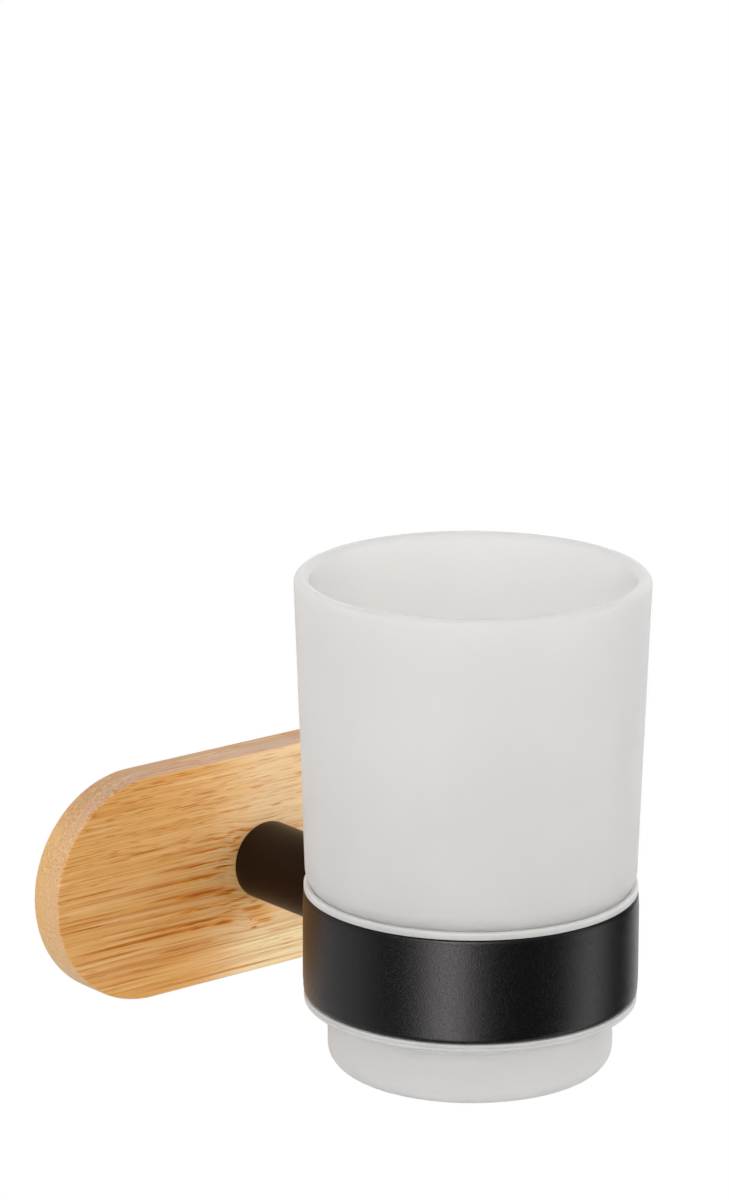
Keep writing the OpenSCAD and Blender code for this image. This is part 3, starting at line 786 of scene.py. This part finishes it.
# %% Patterns of fibres
PATTERNS = (
    # name          along  into  across detail  from  to    least   most
    ("patches",     0.020, 0.05, 0.07,  2.0,    0.35, 0.65, 0.0,    1.0),
    ("fibres",      0.050, 3.60, 3.60,  3.0,    0.36, 0.66, 0.0,    0.70),
    ("pale_strips", 0.040, 1.10, 1.10,  1.0,    0.50, 0.80, 0.0,    0.50),
    ("dots",        0.400, 2.20, 2.20,  2.0,    0.54, 0.68, 0.0,    1.0),
    ("crowd",       0.045, 0.08, 0.12,  2.0,    0.35, 0.70, -0.045, 0.035),
    ("dashes",      0.170, 3.80, 3.80,  1.5,    0.0,  1.0,  0.0,    1.0),
    ("long_lines",  0.010, 1.30, 1.30,  2.0,    0.54, 0.68, 0.0,    0.50),
    ("gaps",        0.080, 0.60, 2.00,  2.0,    0.30, 0.58, 0.45,   1.0),
    ("tears",       0.120, 0.00, 1.10,  2.0,    0.0,  1.0,  -2.8,   2.8),
    ("teeth",       0.150, 0.00, 1.40,  1.0,    0.52, 0.70, 0.0,    0.35))
pattern, raw = {}, {}
for name, along, into, across, detail, low, high, least, most in PATTERNS:
    squeezed = add_node(tree, "ShaderNodeVectorMath", {"operation": "MULTIPLY"}, {
        0: bent, 1: (along, into, across)})
    raw[name] = add_node(tree, "ShaderNodeTexNoise", None, {
        "Vector": squeezed, "Scale": 1.0, "Detail": detail, "Roughness": 0.55})
    pattern[name] = add_node(tree, "ShaderNodeMapRange", {
        "interpolation_type": "LINEAR" if low == 0.0 else "SMOOTHSTEP"}, {
        "Value": raw[name], "From Min": low, "From Max": high, "To Min": least, "To Max": most})
print(len(pattern), "patterns of fibres")

# %% [markdown]
# The strongest bundles and the darkest tears of the knuckle are drawn one by one, each as a thin ellipse: the
# distance of a point from its middle, divided by its half length along X and its half width along Z. A fine
# noise pulls the tears out of shape, by more than a millimetre along the board and half of that across it.

# %% Dark bundles and tears, drawn one by one
BUNDLES = (      # middle x, middle z, half length, half width, strength
    (-30.0, 7.6, 6.0, 0.30, 0.80), (-15.5, 7.0, 5.0, 0.26, 0.70), (-42.0, 4.8, 10.0, 0.22, 0.50),
    (-17.0, 4.9, 4.5, 0.30, 0.60), (-22.0, 2.6, 8.0, 0.28, 0.75), (-45.0, 1.5, 13.0, 0.26, 0.80),
    (-23.0, -0.1, 10.0, 0.55, 0.75), (-29.0, -1.7, 7.0, 0.25, 0.40), (-21.0, -3.1, 11.0, 0.36, 0.90),
    (-43.0, -3.2, 11.0, 0.26, 0.60), (-46.0, -4.1, 9.0, 0.28, 0.75), (-46.0, -5.4, 10.0, 0.34, 0.90),
    (-25.0, -6.2, 14.0, 0.25, 0.55), (-32.0, -7.8, 14.0, 0.26, 0.45), (-26.0, -9.3, 18.0, 0.36, 0.80),
    (-31.0, -10.6, 21.0, 0.42, 1.00), (-40.0, -12.4, 13.0, 0.34, 0.90), (-22.0, -12.7, 9.0, 0.24, 0.45),
    (-20.0, -14.2, 9.0, 0.42, 0.70), (-38.0, -14.9, 12.0, 0.30, 0.70), (-34.0, -16.9, 14.0, 0.28, 0.65),
    (-35.0, -18.4, 12.0, 0.28, 0.60), (0.0, -18.9, 22.0, 0.26, 0.50), (-30.0, -20.4, 13.0, 0.26, 0.50),
    (-10.0, -21.5, 28.0, 0.30, 0.65), (2.0, -16.4, 20.0, 0.22, 0.40))
TEARS = (        # in the same order
    (-7.5, 7.6, 3.0, 0.42, 0.95), (-5.0, 7.3, 2.0, 0.34, 0.90), (-7.0, 5.9, 1.8, 0.50, 0.95),
    (-7.4, 3.5, 2.2, 0.44, 0.95), (-8.0, 4.6, 2.4, 0.28, 0.75), (-12.0, 7.0, 4.4, 0.36, 0.85),
    (-14.0, 4.7, 5.0, 0.32, 0.75), (-10.4, 0.7, 4.2, 0.36, 1.00), (-10.3, 2.2, 3.4, 0.34, 0.80),
    (-17.5, 2.3, 6.4, 0.34, 0.95), (-16.8, -0.4, 7.4, 0.60, 1.00), (-10.3, -4.9, 4.6, 0.66, 1.00),
    (-16.6, -3.7, 8.0, 0.66, 0.95), (-9.5, -7.2, 4.6, 0.44, 0.95), (-17.0, -6.9, 7.4, 0.44, 1.00),
    (-11.3, -11.1, 4.2, 0.54, 1.00), (-17.6, -9.7, 7.6, 0.48, 1.00), (-19.0, -10.9, 6.5, 0.38, 0.90),
    (-6.7, -7.0, 2.4, 0.36, 0.90), (-7.2, -8.2, 3.0, 0.34, 0.80), (-9.3, -9.1, 3.4, 0.32, 0.75),
    (-3.7, -9.6, 3.4, 0.80, 0.60), (-0.4, -12.6, 3.0, 0.85, 0.60), (-3.8, -12.1, 0.6, 0.30, 1.00),
    (-2.7, -13.8, 1.1, 0.50, 0.80), (-3.5, -8.2, 1.6, 0.30, 0.80), (-13.0, -3.6, 6.5, 1.5, 0.36),
    (-10.5, -6.6, 5.6, 1.7, 0.42), (-11.0, -10.2, 5.4, 1.2, 0.36), (-2.2, -11.4, 4.6, 1.6, 0.40))
pulls = add_node(tree, "ShaderNodeVectorMath", {"operation": "MULTIPLY"}, {0: mm, 1: (0.22, 0.0, 0.7)})
pulls = add_node(tree, "ShaderNodeTexNoise", None, {"Vector": pulls, "Scale": 1.0, "Detail": 2.5})
pulls = add_node(tree, "ShaderNodeVectorMath", {"operation": "MULTIPLY_ADD"}, {
    0: pulls.outputs["Color"], 1: (3.6, 0.0, 1.0), 2: (-1.8, 0.0, -0.5)})
torn = add_node(tree, "ShaderNodeVectorMath", {"operation": "ADD"}, {0: mm, 1: pulls})
drawn = {}
for name, ellipses, ground_plan, core in (("bundles", BUNDLES, bent, 0.40), ("tears", TEARS, torn, 0.20)):
    drawn[name] = 0.0
    for middle_x, middle_z, length, width, strength in ellipses:
        ellipse = add_node(tree, "ShaderNodeVectorMath", {"operation": "MULTIPLY_ADD"}, {
            0: ground_plan, 1: (1 / length, 0, 1 / width), 2: (-middle_x / length, 0, -middle_z / width)})
        size = add_node(tree, "ShaderNodeVectorMath", {"operation": "LENGTH"}, {0: ellipse})
        inside = add_node(tree, "ShaderNodeMapRange", {"interpolation_type": "SMOOTHSTEP"}, {
            "Value": size, "From Min": core, "From Max": 1.15, "To Min": strength, "To Max": 0.0})
        drawn[name] = add_node(tree, "ShaderNodeMath", {"operation": "MAXIMUM"}, {0: drawn[name], 1: inside})
print(len(BUNDLES), "bundles and", len(TEARS), "tears drawn one by one")

# %% [markdown]
# The knuckle is a ragged arc about the post. Left of it the bundles end in teeth, and between it and the post
# the wood is lighter and wavy. Above the post it fades out. Fine fibres split every tear into streaks.

# %% Knuckle
KNUCKLE_X, KNUCKLE_Z, KNUCKLE_R = -0.5, -2.0, 11.2
from_centre = add_node(tree, "ShaderNodeVectorMath", {"operation": "MULTIPLY_ADD"}, {
    0: mm, 1: (1, 0, 1), 2: (-KNUCKLE_X, 0, -KNUCKLE_Z)})
reach = add_node(tree, "ShaderNodeVectorMath", {"operation": "LENGTH"}, {0: from_centre})
reach = add_node(tree, "ShaderNodeMath", {"operation": "ADD"}, {0: reach, 1: pattern["tears"]})
for name, low, high, before, after in (
        ("past_arc", -2.2, -0.6, 0.0, 1.0), ("rising", -3.0, -0.5, 0.0, 1.0), ("falling", 0.5, 5.0, 1.0, 0.0)):
    mask[name] = add_node(tree, "ShaderNodeMapRange", {"interpolation_type": "SMOOTHSTEP"}, {
        "Value": reach, "From Min": KNUCKLE_R + low, "From Max": KNUCKLE_R + high,
        "To Min": before, "To Max": after})
outside = add_node(tree, "ShaderNodeMath", {"operation": "MAXIMUM"}, {0: mask["past_arc"], 1: mask["right_side"]})
frayed = pattern["teeth"]
for name in ("rising", "falling", "left_side", "below_top"):
    frayed = add_node(tree, "ShaderNodeMath", {"operation": "MULTIPLY"}, {0: frayed, 1: mask[name]})
streaks = add_node(tree, "ShaderNodeMapRange", {"interpolation_type": "SMOOTHSTEP"}, {
    "Value": raw["fibres"], "From Min": 0.36, "From Max": 0.60, "To Min": 0.35, "To Max": 1.0})
streaks = add_node(tree, "ShaderNodeMath", {"operation": "MULTIPLY"}, {0: drawn["tears"], 1: streaks})
frayed = add_node(tree, "ShaderNodeMath", {"operation": "MAXIMUM"}, {0: frayed, 1: streaks})
halo = add_node(tree, "ShaderNodeMapRange", {"name": "halo"}, {
    "Value": frayed, "From Min": 0.0, "From Max": 0.5, "To Min": 0.0, "To Max": 0.95})
knuckle = add_node(tree, "ShaderNodeMapRange", {"name": "knuckle"}, {
    "Value": frayed, "From Min": 0.25, "From Max": 1.0, "To Min": 0.0, "To Max": 1.0})
print("knuckle", KNUCKLE_R, "mm from its middle")

# %% [markdown]
# The long lines are strong below and fade out above, where short dashes take over, closer together in some
# places than in others. Both stop at the knuckle.

# %% Lines and dashes
lines = add_node(tree, "ShaderNodeMath", {"operation": "MULTIPLY"}, {
    0: pattern["long_lines"], 1: mask["low_part"]})
lines = add_node(tree, "ShaderNodeMath", {"operation": "MAXIMUM"}, {0: lines, 1: drawn["bundles"]})
for share in (pattern["gaps"], outside, on_face):
    lines = add_node(tree, "ShaderNodeMath", {"operation": "MULTIPLY"}, {0: lines, 1: share})
crowded = raw["dashes"]
for extra in (pattern["crowd"], mask["high_part"]):
    crowded = add_node(tree, "ShaderNodeMath", {"operation": "ADD"}, {0: crowded, 1: extra})
dashes = add_node(tree, "ShaderNodeMapRange", {"interpolation_type": "SMOOTHSTEP"}, {
    "Value": crowded, "From Min": 0.55, "From Max": 0.68, "To Min": 0.0, "To Max": 0.70})
dashes = add_node(tree, "ShaderNodeMath", {"operation": "MULTIPLY"}, {0: dashes, 1: outside})
cut_ends = add_node(tree, "ShaderNodeMath", {"operation": "MULTIPLY"}, {
    0: pattern["dots"], 1: mask["on_end"]})
print("lines, dashes and the dots of cut ends")

# %% [markdown]
# The colours go on in layers, from the ground to the darkest bundle, each by the amount of its pattern. The
# ground gets lighter to the right, past the knuckle, and paler in the low right corner: partly the wood's own
# tone and partly painted light where the tumbler and the post keep light off. The rim is painted darker where
# it faces up, a painted shade, and lighter where it faces down, a painted light.

# %% Colours of the bamboo
inside_arc = add_node(tree, "ShaderNodeMath", {"operation": "MULTIPLY_ADD"}, {0: outside, 1: -0.6, 2: 0.6})
# The low right corner: partly paler wood, partly painted light.
pale_wood_and_painted_light_corner = add_node(tree, "ShaderNodeMath", {"operation": "MULTIPLY"}, {
    0: mask["low_right"], 1: mask["low_edge"]})
softer = add_node(tree, "ShaderNodeMath", {"operation": "MULTIPLY_ADD"}, {0: mask["lighter_wood_and_painted_light"], 1: -0.6, 2: 1.0})
fibres = pattern["fibres"]
for share in (on_face, softer):
    fibres = add_node(tree, "ShaderNodeMath", {"operation": "MULTIPLY"}, {0: fibres, 1: share})
LAYERS = (       # name, amount, colour
    # The lighter ground to the right and the paler low corner are partly the wood's own tone and partly painted
    # light.
    ("warm_ground", pattern["patches"], "#EAAF66"), ("light_wood_and_painted_light", mask["lighter_wood_and_painted_light"], "#F6DAAE"),
    ("pale_wood_and_painted_light_corner", pale_wood_and_painted_light_corner, "#FFEEBE"), ("inside_arc", inside_arc, "#FFCC82"),
    # The rim's colour on top is a painted shade, and its colour underneath is a painted light.
    ("rim_ground", mask["on_rim"], "#E4BA8B"), ("painted_shade_rim_above", mask["painted_shade_facing_up"], "#C8AA94"),
    ("painted_light_rim_below", mask["painted_light_facing_down"], "#EBC69E"), ("fibres", fibres, "#DE9844"),
    ("pale_strips", pattern["pale_strips"], "#FBDAA2"), ("cut_ends", cut_ends, "#CE9C64"),
    ("dashes", dashes, "#C8761A"), ("lines", lines, "#C0640C"),
    ("halo_colour", halo, "#EA9428"), ("knuckle_colour", knuckle, "#B4560C"))
colour = add_node(tree, "ShaderNodeRGB", {"name": "ground"})
colour.outputs[0].default_value = linear("#F0B974")
for name, amount, tone in LAYERS:
    colour = add_node(tree, "ShaderNodeMix", {"data_type": "RGBA", "name": name}, {
        0: amount, 6: colour, 7: linear(tone)})
print(len(LAYERS), "layers of colour")

# %% [markdown]
# The lacquer is thin, so it follows the sanded fibres: a little glossier on the hard bundles, which stand out,
# and duller on the soft ground between them. A scraped bundle leaves a shallow groove.

# %% Lacquer
gloss = add_node(tree, "ShaderNodeMapRange", None, {
    "Value": raw["fibres"], "From Min": 0.30, "From Max": 0.70, "To Min": 0.58, "To Max": 0.70})
relief = add_node(tree, "ShaderNodeBump", None, {"Strength": 0.35, "Distance": 0.03 * MM, "Height": raw["fibres"]})
grooves = add_node(tree, "ShaderNodeBump", {"invert": True}, {
    "Strength": 0.5, "Distance": 0.05 * MM, "Height": lines, "Normal": relief})
shader = add_node(tree, "ShaderNodeBsdfPrincipled", None, {
    "Base Color": colour, "Roughness": gloss, "IOR": 1.3, "Normal": grooves})
add_node(tree, "ShaderNodeOutputMaterial", None, {"Surface": shader})
print(bamboo_front.name, "has", len(tree.nodes), "nodes")

# %% [markdown]
# The rear layer was cut from another strip, without a knuckle and more golden, so its material is a copy with
# some colours changed.

# %% Bamboo of the rear layer
bamboo_back = bamboo_front.copy()
bamboo_back.name = "lacquered_bamboo_back"
nodes = bamboo_back.node_tree.nodes
nodes["knuckle"].inputs["To Max"].default_value = nodes["halo"].inputs["To Max"].default_value = 0.0
nodes["ground"].outputs[0].default_value = linear("#E2AE6C")
# The rim's painted shade on top and painted light underneath get the rear layer's own tones.
for name, tone in (("warm_ground", "#DBA35E"), ("rim_ground", "#E6BA80"), ("painted_shade_rim_above", "#C29E7C"),
                   ("painted_light_rim_below", "#EDCDA9")):
    nodes[name].inputs[7].default_value = linear(tone)
print(bamboo_back.name, "has", len(nodes), "nodes")

# %% [markdown]
# The screw, its washer and the locating pin sit in holes in the two layers. They are drilled as on the real
# board: the wide one from behind, the small ones from the front.

# %% Finish the board
WASHER_POCKET_R, WASHER_FRONT, PIN_END = 7.9, -5.3, -5.8
front_layer = finish_piece(front_bm, "bamboo_front_layer", "board_front_ply", bamboo_front,
                           bit_along_y(WASHER_POCKET_R, 0, WASHER_FRONT, GLUE + OVER, 64),
                           bit_along_y(HOLE_R, 0, board_front - OVER, GLUE + OVER),
                           bit_along_y(PIN_HOLE_R, PIN_Z, board_front - OVER, PIN_END))
back_layer = finish_piece(back_bm, "bamboo_back_layer", "board_back_ply", bamboo_back,
                          bit_along_y(WASHER_POCKET_R, 0, GLUE - OVER, pad_front + OVER, 64))
for layer in (front_layer, back_layer):
    lit_by_board_box.objects.link(layer)

# %% [markdown]
# ## The adhesive pad
# Closed-cell acrylic foam, 1 mm thick, cut with a knife. Its skin shows a fine pattern of cells about half a
# millimetre wide, and its edge is drawn in a little by the cut.

# %% Adhesive pad
PAD_INSET, CUT_EDGE, CELL, FOAM_PATCH = 2, 0.2, 0.55, 14
pad_bm = round_ended_slab(BOARD_L - 2 * PAD_INSET, BOARD_H - 2 * PAD_INSET, pad_front, pad_back, CUT_EDGE, 0.0)
foam, tree, mm = new_material("closed_cell_acrylic_foam")
cells = add_node(tree, "ShaderNodeTexVoronoi", {"feature": "DISTANCE_TO_EDGE"}, {
    "Vector": mm, "Scale": 1 / CELL})
from_wall = cells.outputs["Distance"]
patches = add_node(tree, "ShaderNodeTexNoise", None, {"Vector": mm, "Scale": 1 / FOAM_PATCH, "Detail": 3.0})
tint = add_node(tree, "ShaderNodeValToRGB", None, {"Fac": patches})
set_stops(tint, (0.35, "#D4D3CE"), (0.68, "#E0DFDB"))
walls = add_node(tree, "ShaderNodeMapRange", None, {
    "Value": from_wall, "From Min": 0.0, "From Max": 0.12, "To Min": 0.35, "To Max": 0.0})
shade = add_node(tree, "ShaderNodeMix", {"data_type": "RGBA"}, {0: walls, 6: tint, 7: linear("#BDBBB5")})
tack = add_node(tree, "ShaderNodeMapRange", None, {
    "Value": patches, "From Min": 0.3, "From Max": 0.7, "To Min": 0.40, "To Max": 0.55})
relief = add_node(tree, "ShaderNodeBump", None, {"Strength": 0.4, "Distance": 0.04 * MM, "Height": from_wall})
shader = add_node(tree, "ShaderNodeBsdfPrincipled", None, {
    "Base Color": shade, "Roughness": tack, "IOR": 1.47, "Normal": relief})
add_node(tree, "ShaderNodeOutputMaterial", None, {"Surface": shader})
finish_piece(pad_bm, "foam_pad", "wall_pad", foam)

# %% [markdown]
# ## Screws, washer and pin
# Steel with a bright zinc plate from a bath. Their shapes in the CAD model are right, so the nodes stay and
# only get the finish: a bluish metal whose crystals differ a little in gloss, with fine lines from the turning.

# %% Zinc plate
CRYSTAL = 0.6
zinc, tree, mm = new_material("bright_zinc_plated_steel")
crystals = add_node(tree, "ShaderNodeTexVoronoi", None, {"Vector": mm, "Scale": 1 / CRYSTAL}).outputs["Color"]
tone = add_node(tree, "ShaderNodeValToRGB", None, {"Fac": crystals})
set_stops(tone, (0.2, "#B9BEC6"), (0.8, "#D2D3D2"))
gloss = add_node(tree, "ShaderNodeMapRange", None, {
    "Value": crystals, "From Min": 0.0, "From Max": 1.0, "To Min": 0.24, "To Max": 0.38})
lathe_lines = add_node(tree, "ShaderNodeVectorMath", {"operation": "MULTIPLY"}, {0: mm, 1: (0.3, 9.0, 0.3)})
lathe_lines = add_node(tree, "ShaderNodeTexNoise", None, {"Vector": lathe_lines, "Scale": 1.0, "Detail": 1.0})
relief = add_node(tree, "ShaderNodeBump", None, {"Strength": 0.3, "Distance": 0.01 * MM, "Height": lathe_lines})
shader = add_node(tree, "ShaderNodeBsdfPrincipled", None, {
    "Base Color": tone, "Metallic": 1.0, "Roughness": gloss, "Normal": relief})
add_node(tree, "ShaderNodeOutputMaterial", None, {"Surface": shader})
for name in ("ring_screw", "board_screw", "board_washer", "locating_pin"):
    hardware = frame["nodes"][name].data
    hardware.materials.clear()
    hardware.materials.append(zinc)
print("zinc plate on four pieces of hardware")
